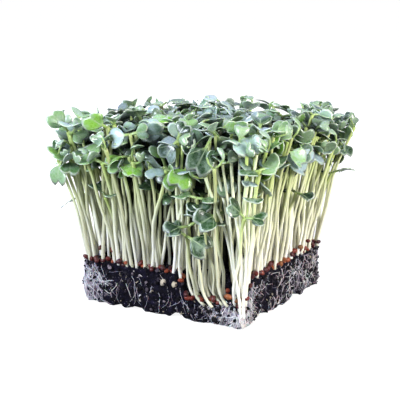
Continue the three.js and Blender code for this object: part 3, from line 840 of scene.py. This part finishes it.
def buildLeaves(material):
    # rows of a leaf's grid run out along the stalk and the blade, columns across. Reach times the lobe curve
    # gives the outline, the surface arches as leafForm says, and on top it folds along the middle, curls down
    # with the cube of the reach, ripples as a sine across and is creased along the middle vein.
    keys = ("tip", "normal", "axis", "across", "stalk", "blade", "rise", "droop", "row", "shut")
    tip, normal, axis, across, stalk, blade, rise, droop, rows, shut = (
        np.repeat(gathered(key), 2, axis=0) for key in keys)
    count = len(rows)
    side = np.tile([1.0, -1.0], count // 2)[:, None, None]
    pick = chance.random((count, 8))
    tone, paintedSheen, darker = leafColouring(tip, shut, pick, np.repeat(chance.random(count // 2), 2))
    more = np.where(np.arange(count) < 2 * solidCount, leafFinish["solidRise"], leafFinish["fillRise"])
    rise = rise + leafFinish["riseSpread"] * more * (pick[:, 4] - 0.5)
    longer = np.repeat(chance.choice([-1, 1], count // 2), 2)[:, None, None]
    length = 1 + leafFinish["unlike"] * side * longer
    v = acrossSteps[None, None]
    u = bladeSteps[None, :, None]
    st, bl = stalk[:, None, None], blade[:, None, None] * length
    stalkX = np.broadcast_to(st * stalkSteps[None, :, None], (count, len(stalkSteps), len(acrossSteps)))
    stalkY = np.broadcast_to(leafFinish["stalkHalfWidth"] * v, stalkX.shape)
    reach = u * bl * lobe(acrossSteps)[None, None]
    bladeX = st + reach * np.cos(leaf["fan"] * v)
    bladeY = reach * np.sin(leaf["fan"] * v) + leaf["shoulder"] * v
    flatX = np.concatenate([stalkX, bladeX], axis=1)
    flatY = np.concatenate([stalkY, bladeY], axis=1)
    isShut = shut[:, None, None]
    x, y, z = leafForm(flatX, flatY, rise[:, None, None], droop[:, None, None], st + bl, isShut)

    out = np.concatenate([np.zeros(len(stalkSteps)), bladeSteps])[None, :, None]
    foldBy, curlBy, phase = (pick[:, k, None, None] for k in (1, 2, 3))
    shape = leafFinish["fold"] * (2 * foldBy - 0.6) * out * (np.sqrt(y * y + 0.5) - 0.7)
    shape = shape - leafFinish["curl"] * curlBy * out ** 3 * (0.4 + np.abs(v))
    shape = shape + leafFinish["ripple"] * out ** 2 * np.sin(leafFinish["ripples"] * v + fullTurn * phase)
    crease = np.exp(-(v / leafFinish["creaseWidth"]) ** 2)
    shape = shape - leafFinish["crease"] * out * (1 - 0.5 * out) * crease
    z = z + np.where(isShut, 0, shape)
    middle = (tip[:, None, None] + (side * x)[..., None] * axis[:, None, None]
              + (side * y)[..., None] * across[:, None, None] + z[..., None] * normal[:, None, None])

    blades = leafFinish["bladeThickness"] + leafFinish["neck"] * np.exp(-bladeSteps / leafFinish["neckReach"])
    thick = np.concatenate([np.full(len(stalkSteps), leafFinish["stalkThickness"]), blades])
    half = 0.5 * thick[:, None] * np.sqrt(1 - (acrossSteps / acrossSteps[-1])[None] ** 2) ** 0.5
    half[-1] = 0
    facing = np.where(shut[:, None], -side[:, 0] * axis, normal)[:, None, None]
    upper = middle + half[None, ..., None] * facing
    lower = middle - half[None, ..., None] * facing
    quads, footEnds, inner = leafSkins()
    points = np.concatenate([upper.reshape(count, -1, 3), lower[:, inner]], axis=1)
    stride = points.shape[1]
    alongGrid = np.concatenate([[0.0, 0.15], 0.3 + 0.7 * bladeSteps])[:, None] * np.ones(inner.shape)
    acrossGrid = np.ones(inner.shape) * acrossSteps
    along, over = (np.concatenate([grid.ravel(), grid[inner]]) for grid in (alongGrid, acrossGrid))
    under = np.concatenate([np.zeros(inner.size), np.ones(inner.sum())])
    ownValues = dict(tone=tone, paintedSheen=paintedSheen, darker=darker)
    for row in range(tufts["perSide"]):
        picked = rows == row
        copies = int(picked.sum())
        faces = [face for part in (quads, footEnds) for face in repeatFaces(part, copies, stride).tolist()]
        placed = keepInside(points[picked].reshape(-1, 3))
        # painted shade: more the further below the canopy's top and inside the stand, plus each leaf's random
        # share
        below = np.clip((stand["top"] - 1 - placed[:, 2]) / shade["below"], 0, 1)
        values = {key: np.repeat(each[picked], stride) for key, each in ownValues.items()}
        values["deep"] = below * howDeep(*placed.T, shade["leavesFrom"]) ** 0.5 + values.pop("darker")
        for key, each in dict(along=along, across=over, under=under).items():
            values[key] = np.tile(each, copies)
        piece = newPiece(f"leaves_row_{row + 1}", placed, faces, material, "leaf", **values)
        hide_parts(*(p["name"] for p in places if p["row"] == row))


buildStems(stemMaterial())
print("stems done")
buildLeaves(leafMaterial())
print("leaves done")


# The slab of potting mix

mix = dict(
    columns=460, rings=56, wallRows=34, grain=((0.9, 6), (0.8, 2.6), (0.6, 1.2)), wallDepth=0.75,
    topDepth=0.7, topSunk=0.35, footIn=1.2, footHigh=2.5, footWaves=3.2, footLift=3.0, liftWaves=4.5,
    underside=(0.97, 0.8, 0.4, 0.05), undersideIn=0.985,
)
# where roughness sets in: past the corners' straight part (a start and a range), and up from the floor
fadeIn = dict(wall=(-2, 0.8), wallUp=1.2, wallLeast=0.25, foot=(-6, 4), topUp=5, topFrom=0.5, lifted=0.1)
# the mix has fallen away from the roots at the bare corner
cornerDip = dict(x=44, y=-44, reach=9.5, depth=6.5)
halfSide = slab["side"] / 2
straight, arc = 2 * (halfSide - slab["cornerRadius"]), slab["cornerRadius"] * math.pi / 2
outlineLength = 4 * (straight + arc)


def outlineAt(s):
    # a point of the outline by distance round it: straight sides joined by quarter circles, first the +X side
    s = np.asarray(s) % outlineLength
    radius = slab["cornerRadius"]
    quarter = np.floor(s / (straight + arc))
    t = s - quarter * (straight + arc)
    angle = np.maximum(t - straight, 0) / radius
    x = halfSide - radius + radius * np.cos(angle)
    y = np.where(angle > 0, halfSide - radius + radius * np.sin(angle), t - halfSide + radius)
    turn = quarter * math.pi / 2
    return x * np.cos(turn) - y * np.sin(turn), x * np.sin(turn) + y * np.cos(turn)


def wavedSide(x, y, up):
    # how far in a point of the side stands, as the factor that the solid uses: the sum of two slanting sines
    one = np.sin(sideWave["alongOne"] * (x - y) + sideWave["upOne"] * up)
    other = np.sin(sideWave["alongOther"] * (x + y) + sideWave["upOther"] * up)
    push = sideWave["height"] * (one + other) / 2
    return 1 - (sideWave["height"] - push) / halfSide


def mixTop(x, y):
    # the solid's top, lowered further round the bare roots by a smooth step
    away = np.hypot(x - cornerDip["x"], y - cornerDip["y"]) / cornerDip["reach"]
    t = 1 - np.minimum(away, 1)
    return topOfSlab(x, y) - cornerDip["depth"] * t * t * (3 - 2 * t)


def wallPoint(s, up):
    # a point of the wall: s is the distance round the outline, and up the share of the height there
    x, y = outlineAt(s)
    grow = wavedSide(x, y, up)
    return np.stack([x * grow, y * grow, up * mixTop(x, y)], axis=-1)


def outward(points):
    # away from a square inside the slab: level, square to the sides and fanned round the corners
    inner = halfSide - slab["cornerRadius"]
    away = points * [1, 1, 0]
    away = away - np.clip(away, -inner, inner)
    reach = np.linalg.norm(away, axis=-1, keepdims=True)
    return away / (reach + 1e-6), reach[..., 0]


def roughen(points):
    # crumbly surface: the sum of noises of three sizes pushes the sides in and the top down from the solid's
    # faces, and near the foot slow noise along the wall bites in and lifts the lower edge
    shape = points.shape
    points = points.reshape(-1, 3).copy()
    grain = sum(weight * valueNoise(points, size, k + 1) for k, (weight, size) in enumerate(mix["grain"]))
    away, reach = outward(points)
    past = reach - slab["cornerRadius"]
    atWall, atFoot = (
        np.clip((past - start) / width, 0, 1) for start, width in (fadeIn["wall"], fadeIn["foot"])
    )
    wall = atWall * np.clip(points[:, 2] / fadeIn["wallUp"], fadeIn["wallLeast"], 1)
    foot = np.clip(1 - points[:, 2] / mix["footHigh"], 0, 1) * atFoot
    ragged = foot * (1 + valueNoise(points * [1, 1, 0], mix["footWaves"], 4))
    push = mix["wallDepth"] * (grain - 1) * wall - mix["footIn"] * ragged
    points += away * push[:, None]
    lift = (mix["topDepth"] * grain - mix["topSunk"]) * np.clip(points[:, 2] / fadeIn["topUp"], 0, 1)
    lift = np.where(points[:, 2] > fadeIn["topFrom"], lift, 0)
    broken = np.maximum(valueNoise(points * [1, 1, 0], mix["liftWaves"], 6) + fadeIn["lifted"], 0)
    points[:, 2] = np.maximum(points[:, 2] + lift + mix["footLift"] * foot * broken, 0)
    return points.reshape(shape)


# where roots felt the surface over: round patches as (x, y, reach, share), then the other places' shares
feltSpots = ((44, -44, 8, 0.6), (-44, -44, 9, 1.0))
feltShares = dict(right=0.14, rightEnd=0.55, rightTop=0.3, curtain=0.7, hidden=0.45, patchy=0.55, patch=5.5)
curtainPlace = dict(x=36, reach=8, front=-39, top=11, fade=4)


def feltAt(points):
    # the largest of a bell round each spot, the +X side (more at its far end and higher up), the curtain
    # below the bite and the two hidden sides, made patchy by noise
    x, y, z = points.T
    spots = [share * np.exp(-((x - atX) ** 2 + (y - atY) ** 2) / reach ** 2)
             for atX, atY, reach, share in feltSpots]
    farEnd = feltShares["rightEnd"] * np.clip((y - 12) / 25, -0.4, 1)
    right = feltShares["right"] + farEnd + feltShares["rightTop"] * (z / 20 - 0.4)
    right = np.clip((x - 40) / 2, 0, 1) * right
    curtain = feltShares["curtain"] * np.exp(-((x - curtainPlace["x"]) / curtainPlace["reach"]) ** 4)
    curtain = curtain * np.clip((curtainPlace["front"] - y) / 2, 0, 1)
    curtain = curtain * np.clip((curtainPlace["top"] - z) / curtainPlace["fade"], 0, 1)
    hidden = feltShares["hidden"] * np.clip(np.maximum(y - 40, -40 - x) / 2, 0, 1)
    patchy = 1 + feltShares["patchy"] * valueNoise(points, feltShares["patch"], 5)
    return patchy * np.maximum.reduce([*spots, right, curtain, hidden])


def soilMaterial():
    # moist peat-based potting mix: near-black with a cold cast, crumbly, felted over with roots in places
    material = newMaterial("moist potting mix")
    place = addNode(material, "ShaderNodeTexCoord", output="Object")
    hanging = addNode(material, "ShaderNodeMapping", {"Vector": place, "Scale": (1, 1, 0.3)})
    coarse, fine, strandy = (
        addNode(material, "ShaderNodeTexNoise", {
            "Vector": at, "Scale": 1 / (size * mm), "Detail": detail, "Roughness": rough,
        }) for at, size, detail, rough in (
            (place, 1.9, 6, 0.7), (place, 0.6, 4, 0.75), (hanging, 1.8, 6, 0.8)))
    specks = addNode(material, "ShaderNodeTexVoronoi", {"Vector": place, "Scale": 1 / (1.5 * mm)},
                     output="Distance")
    felt = addNode(material, "ShaderNodeAttribute", output="Fac", attribute_name="felt")
    felted = addNode(material, "ShaderNodeMath", {0: felt, 1: 0.5, 2: strandy}, operation="MULTIPLY_ADD")
    base = addNode(material, "ShaderNodeValToRGB", {"Fac": coarse}, stops=[
        (0.38, "#010006"), (0.52, "#090718"), (0.62, "#17132b"), (0.72, "#322c46"), (0.82, "#5b5570"),
    ])
    base = coverWith(material, base, [
        (specks, 0.06, 0.15, 0.7, 0, "#a8a0b0"),
        (felted, 0.8, 1.05, 0, 0.85, "#a5a0aa"),
    ])
    wet = addNode(material, "ShaderNodeMapRange", {0: fine, 1: 0.3, 2: 0.7, 3: 0.4, 4: 0.95},
                  interpolation_type="SMOOTHSTEP")
    shader = addNode(material, "ShaderNodeBsdfPrincipled", {
        "Base Color": base, "Roughness": wet, "Specular IOR Level": 0.14,
        "Normal": addNode(material, "ShaderNodeBump", {"Height": fine, "Distance": 0.6 * mm}),
    })
    addNode(material, "ShaderNodeOutputMaterial", {"Surface": shader})
    return material


def buildSlab(material):
    # one closed skin: rings run from the middle of the top out to the edge, down the wall and in underneath
    columns = mix["columns"]
    s = outlineLength * np.arange(columns) / columns
    outlineX, outlineY = outlineAt(s)
    sheets = []
    for t in np.linspace(0.02, 1, mix["rings"]) ** 0.8:
        x, y = outlineX * t, outlineY * t
        grow = 1 - sideWave["height"] / halfSide if t < 1 else wavedSide(x, y, 1)
        sheets.append(np.stack([x * grow, y * grow, mixTop(x, y)], axis=-1))
    for up in np.linspace(1, 0, mix["wallRows"])[1:]:
        sheets.append(wallPoint(s, up))
    for t in mix["underside"]:
        x, y = outlineX * t * mix["undersideIn"], outlineY * t * mix["undersideIn"]
        sheets.append(np.stack([x, y, np.zeros(columns)], axis=-1))
    points = roughen(np.concatenate(sheets + [[[0, 0, float(mixTop(0, 0))], [0, 0, 0]]]))
    rows = len(sheets)
    quads = gridFaces(rows, columns, wrap=True)[:, ::-1]
    k = np.arange(columns)
    top = np.stack([np.full(columns, rows * columns), k, (k + 1) % columns], axis=-1)
    last = (rows - 1) * columns
    foot = np.stack([np.full(columns, rows * columns + 1), last + (k + 1) % columns, last + k], axis=-1)
    faces = quads.tolist() + top.tolist() + foot.tolist()
    piece = newPiece("potting_mix_slab", points, faces, material, "potting_mix", felt=feltAt(points))
    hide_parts("soil_slab")


crumbs = dict(count=3000, onWalls=0.62, proud=0.7, small=0.22, large=1.0)
# where loose bits lie: how far in from the slab's edge on its top, and how far above the floor
bitsLie = dict(edgeIn=0.975, band=15, lowest=0.7)


def surfaceSpots(count, onWalls, lift):
    # random points of the roughened walls and of the top's outer band
    walls = int(count * onWalls)
    wall = roughen(wallPoint(outlineLength * chance.random(walls), chance.random(walls) ** 0.8))
    away, _ = outward(wall)
    wall = wall + away * (lift * (chance.random(walls) - 0.3))[:, None]
    s, inset = outlineLength * chance.random(count - walls), chance.random(count - walls)
    x, y = outlineAt(s)
    shrink = bitsLie["edgeIn"] - bitsLie["band"] / halfSide * inset ** 1.3
    x, y = x * shrink, y * shrink
    top = roughen(np.stack([x, y, mixTop(x, y)], axis=-1))
    top[:, 2] += lift * (chance.random(count - walls) - 0.2)
    spots = np.concatenate([wall, top])
    spots[:, 2] = np.maximum(spots[:, 2], bitsLie["lowest"])
    return spots


def crumbMaterial():
    # loose bits of peat and bark, from black to grey-brown, dull and pitted
    return bitsMaterial("peat crumbs", [
        (0.0, "#020104"), (0.55, "#0c0a13"), (0.8, "#1d1a27"), (0.93, "#453f4a"), (1.0, "#857b84"),
    ], size=0.4, depth=0.25, roughness=0.7, specular=0.2)


def buildCrumbs(material):
    # many small lumps and few large ones, with flat faces like broken peat
    spots = surfaceSpots(crumbs["count"], crumbs["onWalls"], crumbs["proud"])
    size = crumbs["small"] + (crumbs["large"] - crumbs["small"]) * chance.random(len(spots)) ** 2.6
    long = size * (1 + 0.5 * chance.random(len(spots)))
    scatter("mix_crumbs", spots, long, size, (3, 5, 0.5), material, "potting_mix", smooth=False)


grains = dict(count=80, onWalls=0.75, proud=0.2, small=0.2, large=0.75, long=1.15)
flakes = dict(count=230, onWalls=0.8, proud=0.35, long=1.1, thick=0.17)
# two large grains show in the front wall, left of the bite
largeGrains = dict(s=(299, 305.5), up=(0.78, 0.8), size=(1.5, 1.35), tone=(0.55, 0.5))


def grainMaterial():
    # pale mineral grains, seed chaff and bits of straw in the mix, dry and matt
    return bitsMaterial("mineral grains and chaff", [
        (0.0, "#7f776e"), (0.45, "#b9ad96"), (0.65, "#cfc6b6"), (1.0, "#dddbe4"),
    ], size=0.6, depth=0.2, roughness=0.75, layer=(0.4, 0.7, 0, 0.5, "#8a7c66"))


def buildGrains(material):
    # rounded mineral grains, then chaff and straw as thin flakes
    large = roughen(wallPoint(np.array(largeGrains["s"]), np.array(largeGrains["up"])))
    spots = np.concatenate([large, surfaceSpots(grains["count"], grains["onWalls"], grains["proud"])])
    size = grains["small"] + (grains["large"] - grains["small"]) * chance.random(len(spots)) ** 2
    size[:2] = largeGrains["size"]
    scatter("mix_grains", spots, grains["long"] * size, size, (5, 7, 0.2), material, "grain",
            tones=largeGrains["tone"])
    spots = surfaceSpots(flakes["count"], flakes["onWalls"], flakes["proud"])
    long = flakes["long"] * (0.4 + 0.9 * chance.random(len(spots)))
    thick = flakes["thick"] * (0.7 + 0.9 * chance.random(len(spots)))
    scatter("mix_chaff", spots, long, thick, (4, 4, 0.15), material, "grain", least=0.4)


buildSlab(soilMaterial())
buildCrumbs(crumbMaterial())
buildGrains(grainMaterial())
print("slab done")


# Seed coats and roots

seedCoat = dict(
    long=1.6, thick=1.15, high=1.1, sunk=0.35, wander=0.8, swayX=(3, 1), swayY=(1, -4), clearOfCrumbs=4,
    smallest=0.72, sizeRange=0.4,
)
edgeSeeds = dict(count=190, band=4.5, lift=0.2, raised=1.8)
heldSeeds = dict(count=14, stemsFrom=38, above=1.5, reach=5, outward=1.3)
biteSeed = dict(place=(27.5, -41.2, 11.6), size=1.35, tone=0.35)  # one large coat lies in the bite


def seedMaterial():
    # dry radish seed coat: papery, red-brown to orange, duller where it has dried
    return bitsMaterial("dry seed coat", [
        (0.0, "#2a0914"), (0.35, "#481016"), (0.65, "#6a2018"), (0.86, "#93401e"), (1.0, "#7e5a33"),
    ], size=0.9, depth=0.15, roughness=0.42, layer=(0.48, 0.75, 0, 0.4, "#8f4d3b"))


def innerSeeds():
    # one between each four tufts, as in the solid, but for the crumbled places
    lines = tufts["perSide"] - 1
    row, column = np.meshgrid(np.arange(lines), np.arange(lines), indexing="ij")
    swayX, swayY = (by[0] * row + by[1] * column for by in (seedCoat["swayX"], seedCoat["swayY"]))
    x = ((column - (lines - 1) / 2) * tufts["pitch"] + seedCoat["wander"] * np.sin(swayX)).ravel()
    y = ((row - (lines - 1) / 2) * tufts["pitch"] + seedCoat["wander"] * np.cos(swayY)).ravel()
    keep = np.ones(len(x), dtype=bool)
    for place in crumbled:
        reachX, reachY = (place[key] + seedCoat["clearOfCrumbs"] for key in ("reachX", "reachY"))
        keep &= np.hypot((x - place["x"]) / reachX, (y - place["y"]) / reachY) >= 1
    x, y = x[keep], y[keep]
    return np.stack([x, y, topOfSlab(x, y) + seedCoat["high"] * (1 - 2 * seedCoat["sunk"])], axis=-1)


def buildSeeds(material):
    # the coat in the bite, those between the tufts, a band of them along the slab's edge, and a few that
    # still cling to a stem above the mix
    count = edgeSeeds["count"]
    x, y = outlineAt(outlineLength * (np.arange(count) + chance.random(count)) / count)
    shrink = 0.985 - edgeSeeds["band"] / halfSide * chance.random(count) ** 1.4
    x, y = x * shrink, y * shrink
    z = mixTop(x, y) + edgeSeeds["lift"] + edgeSeeds["raised"] * chance.random(count) ** 2
    root, tip, bow, bowTurn, hook = (gathered(key) for key in ("root", "tip", "bow", "bowTurn", "hook"))
    free = (hook[:, 0] == 0) & (gathered("pale") == 0)
    outer = np.flatnonzero((np.abs(root[:, :2]).max(axis=1) > heldSeeds["stemsFrom"]) & free)
    held = chance.choice(outer, heldSeeds["count"], replace=False)
    up = heldSeeds["above"] + heldSeeds["reach"] * chance.random(len(held))
    share = up / (tip[held, 2] - root[held, 2])
    stemX, stemY = stemAt(root[held], tip[held], bow[held], bowTurn[held], share)
    clinging = np.stack([stemX, stemY, root[held, 2] + up], axis=-1)
    clinging += heldSeeds["outward"] * outward(clinging)[0]
    spots = np.concatenate([[biteSeed["place"]], innerSeeds(), np.stack([x, y, z], axis=-1), clinging])
    size = seedCoat["smallest"] + seedCoat["sizeRange"] * chance.random(len(spots))
    size[0] = biteSeed["size"]
    long, thick = seedCoat["long"] * size, seedCoat["thick"] * size
    scatter("seed_coats", spots, long, thick, (6, 9, 0.16), material, "seed_coat", upright=0.5,
            tones=[biteSeed["tone"]])


# threads in each patch: between which distances round the outline, from which share of the height they
# start at the lowest, how long and thick they are, and how far they stray from straight down
rootPatches = dict(
    front=dict(count=36, first=262, last=324, lowest=0.4, length=(2, 17), thick=(0.07, 0.17), stray=0.2),
    curtain=dict(count=130, first=323, last=339, lowest=0.7, length=(4, 11), thick=(0.09, 0.24), stray=0.3),
    right=dict(count=120, first=2, last=56, lowest=0.2, length=(3, 14), thick=(0.07, 0.26), stray=0.5),
    right_end=dict(count=170, first=52, last=86, lowest=0.3, length=(3, 15), thick=(0.07, 0.3), stray=0.7),
    back=dict(count=260, first=86, last=172, lowest=0.25, length=(3, 13), thick=(0.09, 0.22), stray=0.8),
    left=dict(count=240, first=172, last=247, lowest=0.25, length=(3, 13), thick=(0.09, 0.22), stray=0.8),
    left_corner=dict(count=210, first=246, last=264, lowest=0.5, length=(5, 18), thick=(0.1, 0.3), stray=0.4),
    bare_corner=dict(
        count=170, first=334, last=349, lowest=0.55, length=(4, 12), thick=(0.1, 0.28), stray=0.5,
    ),
)


def rootMaterial():
    # young root with root hairs: white and matt like cotton; the grey-violet tones that some threads get at
    # random are painted shade
    material = newMaterial("white young root")
    tone = addNode(material, "ShaderNodeAttribute", output="Fac", attribute_name="tone")
    base = addNode(material, "ShaderNodeValToRGB", {"Fac": tone}, stops=[
        (0.0, "#6f6879"), (0.3, "#a59fae"), (0.65, "#d5d1da"), (1.0, "#f4f1ec"),
    ])
    shader = addNode(material, "ShaderNodeBsdfPrincipled", {
        "Base Color": base, "Roughness": 0.65, "Subsurface Weight": 0.2, "Subsurface Scale": 0.4 * mm,
    })
    addNode(material, "ShaderNodeOutputMaterial", {"Surface": shader})
    return material


def between(limits, count, power=1.0):
    # random values from the first limit to the second, more of them near the first for a power above 1
    return limits[0] + (limits[1] - limits[0]) * chance.random(count) ** power


def addThreads(name, centres, radii, sides, material, least=0):
    # one piece of root threads, none of it below the floor, each with a random tone from least to 1, whose
    # grey-violet low end is painted shade
    points, faces, stride = tubes(centres, radii, sides)
    points[:, 2] = np.maximum(points[:, 2], 0.02)
    tone = least + (1 - least) * chance.random(len(centres))
    newPiece(name, points, faces, material, "root", tone=np.repeat(tone, stride))


def buildRoots(name, patch, material):
    # threads that wander down the wall: each step turns a little, and the path follows the crumbly surface
    count, rings = patch["count"], 10
    step = between(patch["length"], count, 1.5)[:, None] / (rings - 1)
    heading = -math.pi / 2 + patch["stray"] * chance.normal(size=(count, 1))
    heading = heading + np.cumsum((0.12 + 0.3 * patch["stray"]) * chance.normal(size=(count, rings)), axis=1)
    s = between((patch["first"], patch["last"]), count)[:, None] + np.cumsum(step * np.cos(heading), axis=1)
    height = mixTop(*outlineAt(s))
    start = between((patch["lowest"], 1.0), count)[:, None] * height[:, :1]
    z = start + np.cumsum(step * np.sin(heading), axis=1)
    centres = roughen(wallPoint(s, np.clip(z / height, 0.02, 1.0)))
    arch = between((0.0, 0.55), count)[:, None] * np.sin(np.pi * np.linspace(0, 1, rings))[None]
    centres = centres + outward(centres)[0] * (0.02 + arch)[..., None]
    radii = between(patch["thick"], count, 2)[:, None] * np.linspace(1, 0.6, rings)[None]
    addThreads(f"roots_{name}", centres, radii, 4, material)


strands = dict(
    count=34, rings=9, spread=6.2, wave=0.35, waves=9, limit=43.2, thick=(0.12, 0.36), taper=0.55,
)


def buildStrands(material):
    # the roots that the corner bundle stands on splay down to the foot of the slab: their distance from the
    # bundle grows with the square root of a random number, and a sine makes them waver
    count, rings = strands["count"], strands["rings"]
    t = np.linspace(0, 1, rings)[None]
    turn = bundle["turn"] * np.arange(count)[:, None]
    foot = strands["spread"] * np.sqrt(chance.random((count, 1)))
    x = bundle["x"] + bundle["ring"] * np.cos(turn) * (1 - t) + foot * np.cos(turn) * t ** 1.6
    y = bundle["y"] + bundle["ring"] * np.sin(turn) * (1 - t) + foot * np.sin(turn) * t ** 1.6
    wave = strands["wave"] * np.sin(strands["waves"] * t + fullTurn * chance.random((count, 1)))
    x, y = np.minimum(x + wave, strands["limit"]), np.maximum(y - wave, -strands["limit"])
    z = np.broadcast_to((bundle["z"] + 1) * (1 - t) + 0.35 * t, x.shape)
    radii = between(strands["thick"], count)[:, None] * (1 - strands["taper"] * t)
    addThreads("roots_of_bundle", np.stack([x, y, z], axis=-1), radii, 5, material, least=0.6)


buildSeeds(seedMaterial())
youngRoot = rootMaterial()
for name, patch in rootPatches.items():
    buildRoots(name, patch, youngRoot)
buildStrands(youngRoot)
print("seeds and roots done")


# Floor, light and camera

# the camera is fitted to the slab's corners and the canopy's outline in the photograph; metres here
studio = dict(
    floorSize=60, floorBelow=0.0003, wallsGive=(0.3, 0.4), lens=87.7, sensor=36,
    eye=(0.2294, -0.3995, 0.1408), gaze=(-0.4923, 0.8466, -0.2026), lampsFace=(0, 0, 0.05),
)
# each lamp is a square: place, width, watts and colour
lamps = dict(
    key=((0.87, -0.12, 0.28), 0.3, 10.5, "#fffaf0"),
    sky=((-0.25, 0.7, 0.7), 0.8, 2.4, "#dbe8ff"),
    fill=((-0.35, -0.8, 0.45), 0.4, 12.0, "#eef4ff"),
    rear=((-0.75, 0.55, 0.12), 0.4, 7, "#f4f6ff"),
)


def whiteFloor():
    # a pale floor that glows, so that it looks white, and is hidden from the light that bounces to the block
    bpy.ops.mesh.primitive_plane_add(size=studio["floorSize"])
    floor = bpy.context.object
    floor.name = "floor"
    material = newMaterial("pale floor")
    shader = addNode(material, "ShaderNodeBsdfPrincipled", {
        "Base Color": "#8f8f8e", "Roughness": 0.95, "Specular IOR Level": 0.1,
        "Emission Color": "#ffffff", "Emission Strength": 0.9,
    })
    addNode(material, "ShaderNodeOutputMaterial", {"Surface": shader})
    floor.data.materials.append(material)
    floor.location.z = -studio["floorBelow"]
    floor.visible_diffuse = False
    floor.visible_glossy = False


def studioWalls():
    # the studio's walls look white, and light the block with about a third of that, more from above
    world = bpy.data.worlds.new("studio")
    scene.world = world
    world.use_nodes = True
    world.node_tree.nodes.clear()
    direction = addNode(world, "ShaderNodeTexCoord", output="Generated")
    height = addNode(world, "ShaderNodeSeparateXYZ", {0: direction}, output="Z")
    strength = addNode(world, "ShaderNodeMapRange", {
        0: height, 1: -0.8, 2: 0.8, 3: studio["wallsGive"][0], 4: studio["wallsGive"][1],
    }, interpolation_type="SMOOTHSTEP")
    given = addNode(world, "ShaderNodeBackground", {"Color": "#eef3ff", "Strength": strength})
    seen = addNode(world, "ShaderNodeBackground", {"Color": "#ffffff"})
    isSeen = addNode(world, "ShaderNodeLightPath", output="Is Camera Ray")
    both = addNode(world, "ShaderNodeMixShader", {0: isSeen, 1: given, 2: seen})
    addNode(world, "ShaderNodeOutputWorld", {"Surface": both})


def addAimed(name, data, place, towards):
    # a lamp or camera at a place, looking along a direction
    aimed = bpy.data.objects.new(name, data)
    aimed.location = place
    aimed.rotation_euler = towards.to_track_quat("-Z", "Y").to_euler()
    scene.collection.objects.link(aimed)
    return aimed


whiteFloor()
studioWalls()
for name, (place, width, power, hexText) in lamps.items():
    light = bpy.data.lights.new(name, "AREA")
    light.size = width
    light.energy = power
    light.color = linearColour(hexText)[:3]
    addAimed(name, light, place, Vector(studio["lampsFace"]) - Vector(place))
lens = bpy.data.cameras.new("camera")
lens.lens = studio["lens"]
lens.sensor_width = studio["sensor"]
scene.camera = addAimed("camera", lens, studio["eye"], Vector(studio["gaze"]))
print("studio done")
scene.view_settings.view_transform = "Standard"
